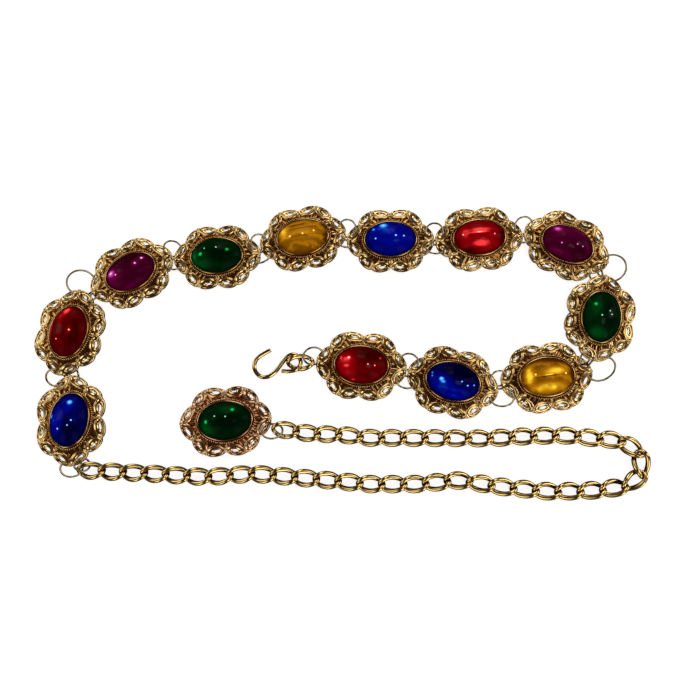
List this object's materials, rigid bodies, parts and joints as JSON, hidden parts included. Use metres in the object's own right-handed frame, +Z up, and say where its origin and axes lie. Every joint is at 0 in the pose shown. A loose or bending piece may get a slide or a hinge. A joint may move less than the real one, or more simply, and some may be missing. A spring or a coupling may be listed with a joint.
{
  "type": "waist chain",
  "caption": "Waist chain of oval petal-rimmed settings with domed cabochons, joined by paired jump rings, with an S-shaped hook at one end, a curb chain at the other and a drop",
  "frame": {"origin": "centre of the laid-out belt's box, on the surface it lies on", "axes": "+X along the laid-out belt's length, +Y towards the far bend, +Z up"},
  "size_m": [0.2856, 0.1414, 0.01],
  "materials": {
    "setting_metal": "polished, with darkened recesses",
    "chain_metal": "polished",
    "ring_metal": "polished, tarnished darker",
    "stone_red": "polished, foil-backed",
    "stone_blue": "polished, foil-backed",
    "stone_amber": "polished, foil-backed",
    "stone_green": "polished, foil-backed",
    "stone_purple": "polished, foil-backed"
  },
  "bodies": {
    "root": {"setting_1": "setting_metal", "setting_2": "setting_metal", "setting_3": "setting_metal", "setting_4": "setting_metal", "setting_5": "setting_metal", "setting_6": "setting_metal", "setting_7": "setting_metal", "setting_8": "setting_metal", "setting_9": "setting_metal", "setting_10": "setting_metal", "setting_11": "setting_metal", "setting_12": "setting_metal", "stone_1": "stone_red", "stone_2": "stone_blue", "stone_3": "stone_amber", "stone_4": "stone_green", "stone_5": "stone_purple", "stone_6": "stone_red", "stone_7": "stone_blue", "stone_8": "stone_amber", "stone_9": "stone_green", "stone_10": "stone_purple", "stone_11": "stone_red", "stone_12": "stone_blue", "rings_1": "ring_metal", "rings_2": "ring_metal", "rings_3": "ring_metal", "rings_4": "ring_metal", "rings_5": "ring_metal", "rings_6": "ring_metal", "rings_7": "ring_metal", "rings_8": "ring_metal", "rings_9": "ring_metal", "rings_10": "ring_metal", "rings_11": "ring_metal", "drop_setting": "setting_metal", "drop_stone": "stone_green", "drop_ring": "ring_metal", "chain": "chain_metal", "chain_rings": "ring_metal", "hook": "chain_metal", "hook_link": "chain_metal", "hook_ring": "ring_metal"}
  },
  "joints": []
}
